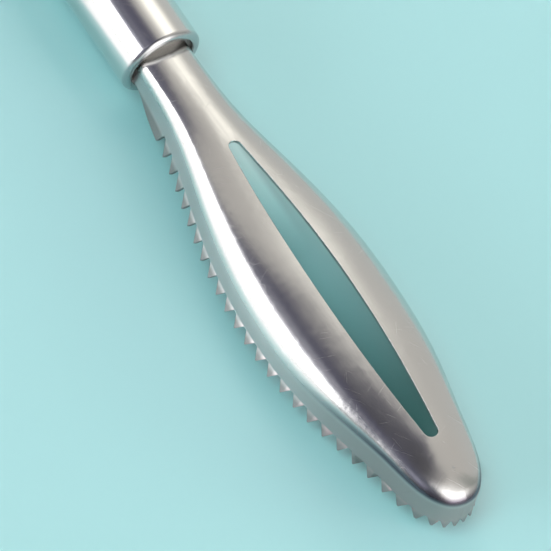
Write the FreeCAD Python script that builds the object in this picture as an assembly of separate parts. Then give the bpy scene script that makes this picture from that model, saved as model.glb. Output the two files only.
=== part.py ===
"""Stainless steel fish scaler: a pressed scaling head on a round tube handle.

X runs along the handle's axis toward the tip, Y to the side, Z up through the crown. All lengths
are in mm. The pieces are drawn from the plane of the handle's mouth, and then placed so that the
origin is on the handle's axis, half-way along the tube.
"""
import FreeCAD, Part
import math
import os
from FreeCAD import Vector

# Handle tube
handle_diameter = 19.0
handle_length = 100.0
handle_wall = 0.8
lip_turn_in = 2.1
lip_depth = 2.2
lip_outer_radius = 1.2
lip_inner_radius = 0.6

# End cap, with the hole to hang the tool by
cap_length = 10.0
cap_end_radius = 6.5
cap_spigot = 9.0
hanging_hole = 5.0
hanging_hole_from_end = 5.5

# Sheet of the scaling head, and the shank inside the handle
sheet = 0.85
shank_length = 14.0
plug_length = 8.0

# Gap between the neck and the lip, beside the neck and above it
neck_side_gap = 0.85
neck_top_gap = 2.65

# Half-width of the head along its root line, where wall and flange meet
waist_half_width = 9.55
hip_half_width = 14.65
belly_half_width = 16.8
brow_half_width = 14.75
toe_half_width = 10.2

# Lengths from one place on the root line to the next, from the mouth to the tip
mouth_to_waist = 22.0
waist_to_hip = 21.0
hip_to_belly = 21.0
belly_to_brow = 21.0
brow_to_toe = 18.0
toe_to_tip = 15.5
nose_length = 7.6
nose_half_width = 7.4

# Height of the crown above the handle's axis, and depth of the root line below it
waist_crown = 5.5
belly_crown = 7.15
toe_crown = 5.9
tip_crown = 3.7
neck_root_depth = 2.8
belly_root_depth = 4.5
tip_root_depth = 4.7

# Shoulder between crown and wall
neck_shoulder = 3.0
waist_shoulder = 5.6
belly_shoulder = 9.6
toe_shoulder = 3.4
tip_shoulder = 2.6
neck_wall = 3.6
waist_wall = 3.0
belly_wall = 2.3
toe_wall = 5.7
tip_wall = 5.0
belly_draft_angle = 9.0
toe_draft_angle = 3.0
bend_radius = 0.8

# Flange that carries the teeth: its slope below the horizontal, and its length
neck_flange_angle = 84.0
waist_flange_angle = 72.0
belly_flange_angle = 68.0
tip_flange_angle = 78.0
mouth_flange = 0.4
neck_flange = 3.2
waist_flange = 2.9
belly_flange = 2.5
toe_flange = 2.4
tip_flange = 1.7
neck_flange_x = 10.0

# Teeth along the root line: even along the side, and narrower ones from the tip back round the nose
tooth_pitch = 4.28
nose_tooth_pitch = 2.2
graded_length = 9.0
first_notch = 15.1
gullet_width = 0.9
nose_gullet_width = 0.25
nose_notch_opening = 1.8

# Slot in the crown
slot_start = 25.3
slot_length = 78.5
slot_width = 7.9
slot_start_width = 3.0
slot_end_width = 3.4

# Clearance of what is pushed into the tube, and details of the construction
fit = 0.05
tooth_sharpness = 0.94
cut_margin = 0.5
stations = 28
crowding = 1.3
body_steps = 10
largest_shoulder = 0.96
nose_point_angles = (60, 30)
steepest_meeting = 0.8
least_taper = 0.02
seam = 0.001

# Dependent sizes
handle_radius = handle_diameter / 2
bore_radius = handle_radius - handle_wall
lip_bore_radius = handle_radius - lip_turn_in
neck_half_width = lip_bore_radius - neck_side_gap
neck_crown = lip_bore_radius - neck_top_gap
waist_x = mouth_to_waist
hip_x = waist_x + waist_to_hip
belly_x = hip_x + hip_to_belly
brow_x = belly_x + belly_to_brow
toe_x = brow_x + brow_to_toe
tip_x = toe_x + toe_to_tip
up = Vector(0, 0, 1)
side = Vector(0, 1, 0)
middle = Vector(0, 0, 0)


def smooth(places, values, x):
    """Value at x on a curve through the given values, which has no overshoot between them."""
    if x <= places[0]:
        return values[0]
    if x >= places[-1]:
        return values[-1]
    runs = [b - a for a, b in zip(places, places[1:])]
    steps = [(b - a) / run for a, b, run in zip(values, values[1:], runs)]
    slopes = [0.0]
    for before, after in zip(steps, steps[1:]):
        slopes.append(2 * before * after / (before + after) if before * after > 0 else 0.0)
    slopes.append(steps[-1])
    i = max(k for k in range(len(runs)) if places[k] <= x)
    t = (x - places[i]) / runs[i]
    return (
        values[i] * (1 + 2 * t) * (1 - t) ** 2
        + slopes[i] * runs[i] * t * (1 - t) ** 2
        + values[i + 1] * t * t * (3 - 2 * t)
        + slopes[i + 1] * runs[i] * t * t * (t - 1)
    )


def crown_height(x):
    return smooth(
        (0, waist_x, belly_x, toe_x, tip_x),
        (neck_crown, waist_crown, belly_crown, toe_crown, tip_crown), x)


def root_depth(x):
    return smooth((0, belly_x, tip_x), (neck_root_depth, belly_root_depth, tip_root_depth), x)


def wall_height(x):
    return smooth(
        (0, waist_x, belly_x, toe_x, tip_x),
        (neck_wall, waist_wall, belly_wall, toe_wall, tip_wall), x)


def shoulder_radius(x):
    return smooth(
        (0, waist_x, belly_x, toe_x, tip_x),
        (neck_shoulder, waist_shoulder, belly_shoulder, toe_shoulder, tip_shoulder), x)


def flange_slope(x):
    return math.radians(smooth(
        (0, waist_x, belly_x, tip_x),
        (neck_flange_angle, waist_flange_angle, belly_flange_angle, tip_flange_angle), x))


def flange_length(x):
    return smooth(
        (0, neck_flange_x, waist_x, belly_x, toe_x, tip_x),
        (mouth_flange, neck_flange, waist_flange, belly_flange, toe_flange, tip_flange), x)


def draft_angle(x):
    return math.radians(smooth(
        (0, waist_x, belly_x, toe_x),
        (0.0, belly_draft_angle, belly_draft_angle, toe_draft_angle), x))


def root_curve():
    """The root line in plan, from the mouth round to the tip, on the side of positive Y."""
    nose_centre = tip_x - nose_length
    points = [
        Vector(0, neck_half_width, 0),
        Vector(waist_x, waist_half_width, 0),
        Vector(hip_x, hip_half_width, 0),
        Vector(belly_x, belly_half_width, 0),
        Vector(brow_x, brow_half_width, 0),
        Vector(toe_x, toe_half_width, 0),
    ]
    for turn in nose_point_angles:
        angle = math.radians(turn)
        points.append(Vector(nose_centre + nose_length * math.cos(angle), nose_half_width * math.sin(angle), 0))
    other_side = [Vector(point.x, -point.y, 0) for point in points[::-1]]
    curve = Part.BSplineCurve()
    curve.interpolate(
        Points=points + [Vector(tip_x, 0, 0)] + other_side,
        InitialTangent=Vector(1, 0, 0), FinalTangent=Vector(-1, 0, 0))
    curve.segment(curve.FirstParameter, (curve.FirstParameter + curve.LastParameter) / 2)
    return curve


def arc_point(centre, radius, tilt):
    """Point and outward normal on an arc, where the normal leans by the given tilt from the vertical."""
    normal = (math.sin(tilt), math.cos(tilt))
    return (centre[0] + radius * normal[0], centre[1] + radius * normal[1]), normal


def profile(x, reach):
    """Body, bend and flange of one section, as points and normals in its own plane.

    The first coordinate runs outward from the crown line, the second up from the root line.
    """
    draft = draft_angle(x)
    slope = flange_slope(x)
    crown = crown_height(x) + root_depth(x)
    steep = math.pi / 2 - draft
    bend_centre = (reach + bend_radius * math.sin(slope), bend_radius * math.cos(slope))
    bend = [arc_point(bend_centre, -bend_radius, tilt) for tilt in (steep, (steep + slope) / 2, slope)]
    foot = bend[0][0]
    wall = wall_height(x)
    wall_top = (foot[0] - wall * math.sin(draft), foot[1] + wall * math.cos(draft))
    room = min((crown - wall_top[1]) / (1 - math.sin(draft)), wall_top[0] / math.cos(draft))
    radius = min(shoulder_radius(x), largest_shoulder * room)
    hub = (wall_top[0] - radius * math.cos(draft), wall_top[1] - radius * math.sin(draft))
    lift = max(0.0, crown - hub[1] - radius - steepest_meeting * hub[0])
    hub = (hub[0] - lift * math.tan(draft), hub[1] + lift)
    wall += lift / math.cos(draft)
    rise = crown - hub[1]
    crown_radius = (hub[0] ** 2 + rise ** 2 - radius ** 2) / (2 * (rise - radius))
    meeting = min(math.atan2(hub[0], hub[1] - crown + crown_radius), steep)
    crown_arc = crown_radius * meeting
    shoulder_arc = radius * (steep - meeting)
    whole = crown_arc + shoulder_arc + wall
    body = []
    for i in range(body_steps + 1):
        along = whole * i / body_steps
        if along <= crown_arc:
            body.append(arc_point((0, crown - crown_radius), crown_radius, along / crown_radius))
        elif along <= crown_arc + shoulder_arc:
            body.append(arc_point(hub, radius, meeting + (along - crown_arc) / radius))
        else:
            left = whole - along
            body.append(((foot[0] - left * math.sin(draft), foot[1] + left * math.cos(draft)), bend[0][1]))
    run = flange_length(x)
    end = (reach + run * math.cos(slope), -run * math.sin(slope))
    return body, bend, [bend[-1], (end, bend[-1][1])]


def station(curve, u):
    """Section wire across the shell, square to the root line at parameter u."""
    root = curve.value(u)
    tangent = curve.tangent(u)[0]
    outward = Vector(-tangent.y, tangent.x, 0)
    nose_centre = tip_x - nose_length
    if root.x < nose_centre + nose_length / 2:
        crown_point = root - outward * (root.y / outward.y)
    else:
        taper = max(1 - (nose_half_width / nose_length) ** 2, least_taper)
        crown_point = Vector(nose_centre + taper * (root.x - nose_centre), 0, 0)
    outward = root - crown_point
    reach = outward.Length
    outward.normalize()
    body, bend, flange = profile(root.x, reach)
    depth = root_depth(root.x)
    full = crown_height(root.x) + depth

    def place(item, inset):
        (out, height), (normal_out, normal_up) = item
        spot = crown_point + outward * out
        lift = height
        if height > 0:
            lift += (crown_height(spot.x) - crown_height(root.x)) * height / full
        inward = outward * normal_out + up * normal_up
        return spot + up * (lift - depth) - inward * inset

    def spline(items, inset):
        points = [place(item, inset) for item in items]
        curve_through = Part.BSplineCurve()
        curve_through.interpolate(Points=points, Parameters=[i / (len(points) - 1) for i in range(len(points))])
        return curve_through.toShape()

    def line(a, b):
        return Part.LineSegment(a, b).toShape()

    edges = [
        spline(body, 0),
        spline(bend, 0),
        line(place(flange[0], 0), place(flange[1], 0)),
        line(place(flange[1], 0), place(flange[1], sheet)),
        line(place(flange[1], sheet), place(flange[0], sheet)),
        spline(bend[::-1], sheet),
        spline(body[::-1], sheet),
        line(place(body[0], sheet), place(body[0], 0)),
    ]
    return Part.Wire(edges)


def make_skin(curve):
    """Closed skin of the head without slot and teeth: one side lofted, the other its mirror image."""
    first, last = curve.FirstParameter, curve.LastParameter
    shares = [1 - (1 - i / stations) ** crowding for i in range(stations + 1)]
    wires = [station(curve, first + (last - first) * share) for share in shares]
    half = Part.makeLoft(wires, True, False)
    skin = []
    for face in half.Faces:
        if face.BoundBox.YMax > seam:
            skin += [face, face.mirror(middle, side)]
    return Part.makeSolid(Part.makeShell(skin)), Part.Face(wires[0])


def slot_cutter():
    """Leaf-shaped prism: two shallow arcs joined by a round end at each point of the leaf."""
    start_radius = slot_start_width / 2
    end_radius = slot_end_width / 2
    slot_end = slot_start + slot_length
    left, right = slot_start + start_radius, slot_end - end_radius
    centre = slot_start + slot_length / 2

    def arc(a, b, c):
        return Part.Arc(*(Vector(x, y, 0) for x, y in (a, b, c))).toShape()

    outline = Part.Wire([
        arc((left, start_radius), (centre, slot_width / 2), (right, end_radius)),
        arc((right, end_radius), (slot_end, 0), (right, -end_radius)),
        arc((right, -end_radius), (centre, -slot_width / 2), (left, -start_radius)),
        arc((left, -start_radius), (slot_start, 0), (left, start_radius)),
    ])
    return Part.Face(outline).extrude(up * 2 * belly_crown)


def notch_cutter(curve, distance):
    """Prism that leaves a flat gullet between two teeth, square to the flange.

    Where the head widens, the notches point straight to the side, so that the teeth lean toward the tip.
    """
    u = curve.parameterAtDistance(distance, curve.FirstParameter)
    root = curve.value(u)
    along = curve.tangent(u)[0]
    slope = flange_slope(root.x)
    outward = Vector(-along.y, along.x, 0) * math.cos(slope) - up * math.sin(slope)
    across = along.cross(outward)
    run = flange_length(root.x)
    nose = (tip_x - nose_length, tip_x)
    gullet = smooth(nose, (gullet_width, nose_gullet_width), root.x)
    opening = smooth(nose, (tooth_pitch * tooth_sharpness, nose_notch_opening), root.x)
    reach = run + cut_margin
    mouth = gullet + (opening - gullet) * reach / run
    lean = max(0.0, along.y / along.x) if root.x < belly_x else 0.0
    deep = root - up * root_depth(root.x) - across * 2 * sheet - along * (lean * run / 2)
    open_end = deep + outward * reach + along * (lean * reach)
    corners = [
        deep - along * (gullet / 2),
        deep + along * (gullet / 2),
        open_end + along * (mouth / 2),
        open_end - along * (mouth / 2),
    ]
    return Part.Face(Part.makePolygon(corners + corners[:1])).extrude(across * 4 * sheet)


def make_scaling_head():
    curve = root_curve()
    head, mouth_section = make_skin(curve)
    for half_section in (mouth_section, mouth_section.mirror(middle, side)):
        head = head.fuse(half_section.extrude(Vector(-shank_length, 0, 0)))
    head = head.cut(slot_cutter())
    whole = curve.length()
    places = [whole]
    while whole - places[-1] < graded_length:
        pitch = smooth((0, graded_length), (nose_tooth_pitch, tooth_pitch), whole - places[-1])
        places.append(places[-1] - pitch)
    span = places[-1] - first_notch
    count = round(span / tooth_pitch)
    places += [first_notch + span * i / count for i in range(count)]
    notches = [notch_cutter(curve, place) for place in places]
    notches += [notch.mirror(middle, side) for notch in notches[1:]]
    return head.cut(notches)


def revolve(edges):
    """Solid of revolution about the handle's axis, from edges that close an outline."""
    return Part.Face(Part.Wire(edges)).revolve(middle, Vector(1, 0, 0), 360)


def straight(points):
    """Straight edges through points of an outline, each given as x and radius."""
    corners = [Vector(x, radius, 0) for x, radius in points]
    return [Part.LineSegment(a, b).toShape() for a, b in zip(corners, corners[1:])]


def quarter(start, centre, end):
    """Arc from start to end about a centre, each given as x and radius."""
    a, c, b = (Vector(x, radius, 0) for x, radius in (start, centre, end))
    bulge = (a + b) * 0.5 - c
    top = c + bulge * ((a - c).Length / bulge.Length)
    return [Part.Arc(a, top, b).toShape()]


def make_handle_tube():
    """Tube whose front end turns in to a rounded lip."""
    outer_start = (-lip_outer_radius, handle_radius)
    outer_end = (0, handle_radius - lip_outer_radius)
    inner_start = (0, lip_bore_radius + lip_inner_radius)
    inner_end = (-lip_inner_radius, lip_bore_radius)
    return revolve(
        straight([(-handle_length, bore_radius), (-handle_length, handle_radius), outer_start])
        + quarter(outer_start, (-lip_outer_radius, handle_radius - lip_outer_radius), outer_end)
        + straight([outer_end, inner_start])
        + quarter(inner_start, (-lip_inner_radius, lip_bore_radius + lip_inner_radius), inner_end)
        + straight([inner_end, (-lip_depth, lip_bore_radius), (-lip_depth, bore_radius),
                    (-handle_length, bore_radius)])
    )


def make_end_cap():
    """Plug with a spigot in the tube and a rounded end, with a cross hole to hang the tool by."""
    spigot_radius = bore_radius - fit
    end = -handle_length - cap_length
    rim = (end + cap_end_radius, handle_radius)
    face = (end, handle_radius - cap_end_radius)
    cap = revolve(
        straight([(-handle_length + cap_spigot, 0), (-handle_length + cap_spigot, spigot_radius),
                  (-handle_length, spigot_radius), (-handle_length, handle_radius), rim])
        + quarter(rim, (end + cap_end_radius, handle_radius - cap_end_radius), face)
        + straight([face, (end, 0), (-handle_length + cap_spigot, 0)])
    )
    hole_foot = Vector(end + hanging_hole_from_end, 0, -handle_radius)
    return cap.cut(Part.makeCylinder(hanging_hole / 2, handle_diameter, hole_foot, up))


def make_shank_plug():
    """Disc behind the lip, cut out to the shank's section, that holds the head in the handle."""
    back = Vector(-lip_depth - plug_length, 0, 0)
    disc = Part.makeCylinder(bore_radius - fit, plug_length, back, Vector(1, 0, 0))
    curve = root_curve()
    mouth_section = Part.Face(station(curve, curve.FirstParameter))
    for half_section in (mouth_section, mouth_section.mirror(middle, side)):
        disc = disc.cut(half_section.extrude(Vector(-shank_length, 0, 0)))
    return disc


def save(name, shape):
    """Write one piece, placed in the frame of the whole tool."""
    shape.translated(Vector(handle_length / 2, 0, 0)).exportStep(os.path.join("parts", name + ".step"))


if __name__ == "__main__":
    os.makedirs("parts", exist_ok=True)
    for name, shape in (
        ("scaling_head", make_scaling_head()),
        ("handle_tube", make_handle_tube()),
        ("end_cap", make_end_cap()),
        ("shank_plug", make_shank_plug()),
    ):
        save(name, shape)
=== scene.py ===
import math

import bpy
from mathutils import Matrix, Vector


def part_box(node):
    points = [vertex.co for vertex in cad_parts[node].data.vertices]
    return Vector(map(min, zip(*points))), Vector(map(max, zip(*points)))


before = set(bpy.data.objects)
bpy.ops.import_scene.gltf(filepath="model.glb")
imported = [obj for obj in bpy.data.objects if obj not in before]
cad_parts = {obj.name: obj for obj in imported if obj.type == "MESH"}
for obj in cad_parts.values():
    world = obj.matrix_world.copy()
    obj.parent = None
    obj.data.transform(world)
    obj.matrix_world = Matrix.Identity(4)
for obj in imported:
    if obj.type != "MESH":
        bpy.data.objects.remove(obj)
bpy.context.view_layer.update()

# Where the tool lies: the mouth of the handle, and the floor under it
floor_gap = 0.0001
tube_low, tube_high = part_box("handle_tube")
mouth = Vector((tube_high.x, 0, 0))
floor_height = tube_low.z - floor_gap

# Camera: directions of the picture in the tool's frame, and the picture's middle, counted from the mouth
image_size = 551
sensor_width = 36
camera_distance = 1.25
nearest_seen = 0.01
pixels_per_metre = 4760
middle_right_of_mouth = 114.04 / pixels_per_metre
middle_below_mouth = 213.08 / pixels_per_metre
toward_camera = Vector((0.352, -0.454, 0.819)).normalized()
image_right = Vector((0.527, 0.819, 0.227)).normalized()
image_up = toward_camera.cross(image_right)
picture_middle = mouth + image_right * middle_right_of_mouth - image_up * middle_below_mouth

# Floor: its colour, the background's, the painted reflections that only the steel mirrors and the painted
# light and shade under the slot, and how far to the side of the handle's axis that paint under the slot
# lies
floor_half = 3.0
floor_roughness = 0.30
teal = (0.385, 0.665, 0.675, 1)
background_teal = (0.45, 0.72, 0.73, 1)
mirrored_white = (0.85, 0.86, 0.87, 1)
mirrored_dark = (0.05, 0.07, 0.07, 1)
lit_teal = (0.60, 0.95, 0.95, 1)
shaded_teal = (0.09, 0.24, 0.23, 1)
paint_side = 0.005

# Steel: how often its unevenness changes in a metre, the real size of its edges and bumps, and how much
# grain, clouds and scratches add to the roughness and to the bumps
grain_per_metre = (60, 2500, 2500)
clouds_per_metre = 90.0
specks_per_metre = 2600.0
scratches_along = 110
scratches_across = 8500
scratches_upward = (30, 1500)
scratch_turns = (8, 37, -28, 71, -63)
edge_radius = 0.00025
bump_height = 0.00001
cloud_roughness = 0.10
grain_roughness = 0.04
scratch_roughness = 0.08
fine_bumps = 0.35
scratch_depth = 0.2

# Rougher, darker parts: how deep the teeth's roots lie under the handle's axis, how high the wall is over
# them, and the greys of wall, teeth and lip, with painted shade on the wall at the toe and in the crease
# over it
root_depth_at_neck = 0.0028
root_depth_at_belly = 0.0046
wall_height_at_neck = 0.0036
wall_height_more_at_toe = 0.0020
wall_grey = (0.66, 0.61, 0.60, 1)
# Painted shade at the toe: the wall's darker grey there and the crease's dark line
toe_wall_painted_shade = (0.50, 0.42, 0.41, 1)
crease_painted_shade = (0.16, 0.14, 0.17, 1)
tooth_grey = (0.38, 0.35, 0.34, 1)
lip_grey = (0.52, 0.52, 0.52, 1)


class Tree:
    """Short way to write shader nodes.

    Numbers and colours go into a node's inputs, and other nodes' outputs are linked to them.
    """

    def __init__(self, tree):
        self.tree = tree
        tree.nodes.clear()

    def fill(self, socket, value):
        if isinstance(value, bpy.types.NodeSocket):
            self.tree.links.new(value, socket)
        elif value is not None:
            socket.default_value = value

    def node(self, kind, *inputs, out=0, settings=None, **named):
        """Makes a node and gives one of its outputs. An input that is None stays as it is."""
        made = self.tree.nodes.new(kind)
        for key, value in (settings or {}).items():
            setattr(made, key, value)
        for i, value in enumerate(inputs):
            self.fill(made.inputs[i], value)
        for name, value in named.items():
            self.fill(made.inputs[name.replace("_", " ")], value)
        return made.outputs[out] if made.outputs else None

    def math(self, operation, *inputs):
        return self.node("ShaderNodeMath", *inputs, settings={"operation": operation})

    def vector(self, operation, *inputs, out=0):
        return self.node("ShaderNodeVectorMath", *inputs, settings={"operation": operation}, out=out)

    def dot(self, value, axis):
        return self.vector("DOT_PRODUCT", value, tuple(axis), out=1)

    def distance(self, a, b):
        """Length of a step with the legs a and b."""
        return self.math("SQRT", self.math("ADD", self.math("MULTIPLY", a, a), self.math("MULTIPLY", b, b)))

    def product(self, value, *others):
        for other in others:
            value = self.math("MULTIPLY", value, other)
        return value

    def rise(self, value, low, high, start=0.0, end=1.0):
        """Goes smoothly from start to end while value goes from low to high."""
        return self.node("ShaderNodeMapRange", value, low, high, start, end,
                         settings={"interpolation_type": "SMOOTHSTEP"})

    def fall(self, value, low, high):
        return self.rise(value, low, high, 1.0, 0.0)

    def mix(self, share, a, b):
        """Colour that goes from a to b as the share goes from 0 to 1."""
        other_kinds = [None] * 5
        return self.node("ShaderNodeMix", share, *other_kinds, a, b, out=2, settings={"data_type": "RGBA"})


def make_camera():
    data = bpy.data.cameras.new("camera")
    data.sensor_width = sensor_width
    data.lens = sensor_width * pixels_per_metre * camera_distance / image_size
    data.clip_start = nearest_seen
    camera = bpy.data.objects.new("camera", data)
    turn = Matrix((image_right, image_up, toward_camera)).transposed().to_4x4()
    camera.matrix_world = Matrix.Translation(picture_middle + toward_camera * camera_distance) @ turn
    bpy.context.scene.collection.objects.link(camera)
    bpy.context.scene.camera = camera


def picture_degrees(t, direction):
    """Degrees right of and above the camera's direction, measured straight from it."""
    right, above, toward = (t.dot(direction, axis) for axis in (image_right, image_up, toward_camera))
    aside = t.distance(right, above)
    degrees = t.math("MULTIPLY", t.math("ARCTAN2", aside, toward), math.degrees(1))
    spread = t.math("DIVIDE", degrees, t.math("MAXIMUM", aside, 0.0001))
    return t.math("MULTIPLY", right, spread), t.math("MULTIPLY", above, spread)


def panel(t, degrees, corners, soft):
    """Share inside a shape with straight sides, given by its corners counterclockwise."""
    across, upward = degrees
    sides = []
    for (x, y), (next_x, next_y) in zip(corners, corners[1:] + corners[:1]):
        length = math.hypot(next_x - x, next_y - y)
        a, b = (next_x - x) / length, (next_y - y) / length
        inward = t.math("MULTIPLY_ADD", upward, a, t.math("MULTIPLY_ADD", across, -b, b * x - a * y))
        sides.append(t.rise(inward, -soft, soft))
    return t.product(*sides)


def spot(t, degrees, middle, radius, soft, stretch, turn=0.0):
    """Share inside an ellipse, whose longer axis is turned by some degrees."""
    across, upward = degrees
    x, y = middle
    c, s = math.cos(math.radians(turn)), math.sin(math.radians(turn))
    along = t.math("MULTIPLY_ADD", across, c / stretch, -(x * c + y * s) / stretch)
    along = t.math("MULTIPLY_ADD", upward, s / stretch, along)
    beside = t.math("MULTIPLY_ADD", across, -s, x * s - y * c)
    beside = t.math("MULTIPLY_ADD", upward, c, beside)
    return t.fall(t.distance(along, beside), radius - soft, radius + soft)


def mirrored_studio(t, direction):
    """What the steel mirrors: boards, glows and dark gaps round the camera.

    Each is laid over those before it. Places are degrees right of and above the camera's direction.
    """
    degrees = picture_degrees(t, direction)
    height = t.node("ShaderNodeSeparateXYZ", direction, out=2)
    above_floor = t.rise(height, 0.02, 0.10)
    seen = t.mix(t.rise(height, 0, 0.8), (0.62, 0.65, 0.64, 1), (0.62, 0.60, 0.57, 1))

    low_gap = [(-95, -80), (-20, -100), (4, -5), (8, 22), (-28, 21), (-60, -10)]
    high_gap = [(-45, 16), (-28, 4), (2, 8), (18, 30), (22, 54), (2, 52), (-50, 39)]
    right_board = [(14, -95), (72, -90), (62, 6), (7, 8)]
    left_board_rim = [(-86, -60), (-36, 9), (-42, 29), (-48, 42), (-122, 62), (-163, -20)]
    left_board = [(-83, -58), (-40, 7), (-45, 26), (-51, 39), (-120, 60), (-160, -20)]
    for inside, colour in (
        # Dim place on the right, along the far side of handle and head
        (spot(t, degrees, (80, 24), 9, 8, 3.2), (0.30, 0.33, 0.31, 1)),
        # Dark band along the left of the dome, with a blue glow in it
        (panel(t, degrees, low_gap, 6), (0.12, 0.13, 0.17, 1)),
        (spot(t, degrees, (-30, -16), 8, 7, 2.2, 62), (0.38, 0.38, 0.50, 1)),
        # Dark stripes on handle and neck, with a blacker core and a glow beside it
        (panel(t, degrees, high_gap, 4), (0.105, 0.105, 0.155, 1)),
        (spot(t, degrees, (4, 28), 8, 7, 2.2, 66), (0.07, 0.07, 0.08, 1)),
        (spot(t, degrees, (-31, 20), 7, 6, 1.8, 48), (0.42, 0.42, 0.49, 1)),
        # Bright spot on the tip
        (panel(t, degrees, right_board, 11), (2.6, 2.58, 2.6, 1)),
        # Light on the crown of neck and handle, weak outside and strong inside
        (spot(t, degrees, (26, 68), 8, 7, 2.8, 32), (0.88, 0.86, 0.81, 1)),
        (spot(t, degrees, (28, 67), 6, 6, 2.4, 32), (2.0, 1.96, 1.8, 1)),
        # White band along the left of handle, neck and dome, with a bluish rim
        (panel(t, degrees, left_board_rim, 5), (0.60, 0.62, 0.78, 1)),
        (panel(t, degrees, left_board, 1.5), (3.2, 3.2, 3.25, 1)),
    ):
        seen = t.mix(t.math("MULTIPLY", inside, above_floor), seen, colour)
    return seen


def floor_light(t, direction):
    """Light that falls on the floor: low soft lamps round the tool, and two higher ones."""
    lamp_edge = math.cos(math.radians(22))
    light = (0.0, 0.0, 0.0)
    for azimuth, elevation, colour in (
        (60, 8, (15.0, 15.8, 15.0)),
        (160, 8, (32.0, 26.8, 25.8)),
        (260, 8, (24.0, 26.6, 28.3)),
        (40, 40, (6.0, 4.0, 4.2)),
        (260, 60, (2.6, 4.7, 4.8)),
    ):
        a, e = math.radians(azimuth), math.radians(elevation)
        toward_lamp = (math.cos(a) * math.cos(e), math.sin(a) * math.cos(e), math.sin(e))
        inside = t.rise(t.dot(direction, toward_lamp), lamp_edge, 1.0)
        light = t.vector("ADD", light, t.vector("SCALE", colour, None, None, inside))
    return light


def make_world():
    """Studio round the tool: what the steel mirrors, what lights the floor, and a plain background."""
    world = bpy.data.worlds.new("studio")
    world.use_nodes = True
    t = Tree(world.node_tree)
    direction = t.vector("NORMALIZE", t.node("ShaderNodeTexCoord"))
    from_camera, diffuse = (t.node("ShaderNodeLightPath", out=i) for i in (0, 2))
    sky = t.mix(diffuse, mirrored_studio(t, direction), floor_light(t, direction))
    sky = t.mix(from_camera, sky, background_teal)
    background = t.node("ShaderNodeBackground", sky, 1.0)
    t.node("ShaderNodeOutputWorld", background)
    bpy.context.scene.world = world


def make_floor():
    """Flat pale floor, whose origin lies under the mouth of the handle."""
    mesh = bpy.data.meshes.new("floor")
    corners = [(x * floor_half, y * floor_half, 0) for x, y in ((-1, -1), (1, -1), (1, 1), (-1, 1))]
    mesh.from_pydata(corners, [], [(0, 1, 2, 3)])
    floor = bpy.data.objects.new("floor", mesh)
    floor.location = (mouth.x, 0, floor_height)
    bpy.context.scene.collection.objects.link(floor)
    material = bpy.data.materials.new("pale_floor")
    material.use_nodes = True
    t = Tree(material.node_tree)
    place = t.node("ShaderNodeTexCoord", out=3)

    # Painted reflections, seen only in the steel's mirror image: white on the left and dark below the tip
    left = t.fall(t.dot(place, image_right), -0.050, -0.036)
    below = t.rise(t.dot(place, -image_up), 0.112, 0.130)
    mirrored = t.mix(below, t.mix(left, teal, mirrored_white), mirrored_dark)
    colour = t.mix(t.node("ShaderNodeLightPath", out=3), teal, mirrored)

    # Painted light and shade under the head, where the slot shows it: lighter at the neck and darker at the
    # toe
    along, aside = (t.node("ShaderNodeSeparateXYZ", place, out=i) for i in (0, 1))
    off_paint = t.math("ABSOLUTE", t.math("SUBTRACT", aside, paint_side))
    under_neck = t.product(
        t.rise(along, 0.008, 0.014), t.fall(along, 0.025, 0.050), t.fall(off_paint, 0.0035, 0.0055))
    under_toe = t.product(
        t.rise(along, 0.050, 0.094), t.fall(along, 0.104, 0.112), t.fall(off_paint, 0.007, 0.010))
    colour = t.mix(under_toe, t.mix(under_neck, colour, lit_teal), shaded_teal)

    shader = t.node("ShaderNodeBsdfPrincipled", Base_Color=colour, Roughness=floor_roughness)
    t.node("ShaderNodeOutputMaterial", shader)
    mesh.materials.append(material)


def scratch_lines(t, place, turn, share):
    """Long thin scratches seen from above, all in one direction."""
    c, s = math.cos(math.radians(turn)), math.sin(math.radians(turn))
    along = t.dot(place, (c * scratches_along, s * scratches_along, scratches_upward[0]))
    aside = t.dot(place, (-s * scratches_across, c * scratches_across, scratches_upward[1]))
    stretched = t.node("ShaderNodeCombineXYZ", along, aside, turn / 7)
    noise = t.node("ShaderNodeTexNoise", Vector=stretched, Scale=1.0, Detail=1.0, Roughness=0.5)
    return t.rise(noise, 0.74 - share, 0.80 - share)


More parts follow.
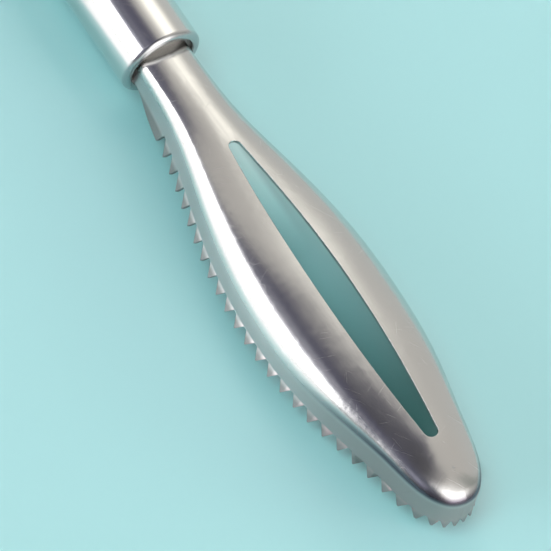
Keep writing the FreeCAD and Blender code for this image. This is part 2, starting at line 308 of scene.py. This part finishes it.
def steel(name, colour, roughness, scratches=0.0, waviness=1.0, dull_and_shade=None):
    """Stainless steel with polishing grain, fine scratches, rounded edges and an uneven surface.

    Its rougher, darker parts, some of them painted shade, come from a function that gives each one's share,
    extra roughness and colour.
    """
    material = bpy.data.materials.new(name)
    material.use_nodes = True
    t = Tree(material.node_tree)
    place = t.node("ShaderNodeTexCoord", out=3)
    drawn_out = t.vector("MULTIPLY", place, grain_per_metre)
    grain = t.node("ShaderNodeTexNoise", Vector=drawn_out, Scale=1.0, Detail=3.0)
    cloud = t.node("ShaderNodeTexNoise", Vector=place, Scale=clouds_per_metre, Detail=4.0, Roughness=0.55)
    specks = t.node("ShaderNodeTexNoise", Vector=place, Scale=specks_per_metre, Detail=2.0, Roughness=0.6)
    marks = 0.0
    for turn in scratch_turns:
        marks = t.math("MAXIMUM", marks, scratch_lines(t, place, turn, scratches))

    mean_of_noise = (cloud_roughness + grain_roughness) / 2
    rough = t.math("MULTIPLY_ADD", cloud, cloud_roughness, roughness - mean_of_noise)
    rough = t.math("MULTIPLY_ADD", grain, grain_roughness, rough)
    rough = t.math("MULTIPLY_ADD", marks, scratch_roughness, rough)
    waves = t.math("MULTIPLY", cloud, waviness)
    height = t.math("MULTIPLY_ADD", t.math("ADD", grain, specks), fine_bumps, waves)
    height = t.math("MULTIPLY_ADD", marks, -scratch_depth, height)
    tint = t.mix(cloud, colour, tuple(c * 0.93 for c in colour[:3]) + (1,))

    x, z = (t.node("ShaderNodeSeparateXYZ", place, out=i) for i in (0, 2))
    for share, extra, dull_and_shade_colour in dull_and_shade(t, x, z) if dull_and_shade else ():
        rough = t.math("MULTIPLY_ADD", share, extra, rough)
        height = t.math("MULTIPLY_ADD", t.math("MULTIPLY", share, specks), 4 * extra, height)
        # Greys of the rougher parts, partly painted shade
        tint = t.mix(share, tint, dull_and_shade_colour)

    edges = t.node("ShaderNodeBevel", edge_radius, settings={"samples": 4})
    bump = t.node("ShaderNodeBump", Strength=1.0, Distance=bump_height, Height=height, Normal=edges)
    shader = t.node("ShaderNodeBsdfPrincipled", Base_Color=tint, Metallic=1.0, Roughness=rough, Normal=bump)
    t.node("ShaderNodeOutputMaterial", shader)
    return material


def rim_dullness_and_shade(t, x, z):
    """The head's unpolished wall and flange in a darker grey, with painted shade on the wall toward the toe
    and along the crease over it there, and the cut teeth in a darker grey.

    Gives share, extra roughness and colour of each.
    """
    root_depth = t.rise(x, mouth.x, mouth.x + 0.070, root_depth_at_neck, root_depth_at_belly)
    over_root = t.math("ADD", z, root_depth)
    toe = t.rise(x, mouth.x + 0.070, mouth.x + 0.105)
    wall_height = t.math("MULTIPLY_ADD", toe, wall_height_more_at_toe, wall_height_at_neck)
    over_wall = t.math("SUBTRACT", over_root, wall_height)
    wall = t.fall(over_wall, -0.0015, 0.0012)
    # Painted shade: a dark line along the crease over the wall at the toe
    crease = t.product(t.rise(over_wall, -0.0006, 0.0004), t.fall(over_wall, 0.0008, 0.0022), toe)
    teeth = t.fall(over_root, -0.0012, 0.0)
    # Painted shade: the wall's grey darkens toward the toe
    wall_colour_with_toe_shade = t.mix(toe, wall_grey, toe_wall_painted_shade)
    return (wall, 0.22, wall_colour_with_toe_shade), (crease, 0.05, crease_painted_shade), (teeth, 0.05, tooth_grey)


def lip_dullness(t, x, z):
    """The rolled lip round the handle's mouth, as its share, extra roughness and colour."""
    lip = t.rise(x, mouth.x - 0.0014, mouth.x - 0.0004)
    return ((lip, 0.10, lip_grey),)


bpy.context.scene.view_settings.view_transform = "Standard"
make_camera()
make_world()
make_floor()

head_steel = steel(
    "head_steel", (0.70, 0.69, 0.67, 1), 0.20, scratches=0.015, waviness=2.0, dull_and_shade=rim_dullness_and_shade)
handle_steel = steel("handle_steel", (0.76, 0.75, 0.73, 1), 0.15, dull_and_shade=lip_dullness)
cap_steel = steel("cap_steel", (0.74, 0.73, 0.71, 1), 0.17)
# Lighter steel on the plug, as painted light where it lies in the lip's shade
plug_steel = steel("plug_steel", (0.85, 0.84, 0.82, 1), 0.45)
for node, material in (
    ("scaling_head", head_steel),
    ("handle_tube", handle_steel),
    ("end_cap", cap_steel),
    ("shank_plug", plug_steel),
):
    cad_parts[node].data.materials[0] = material
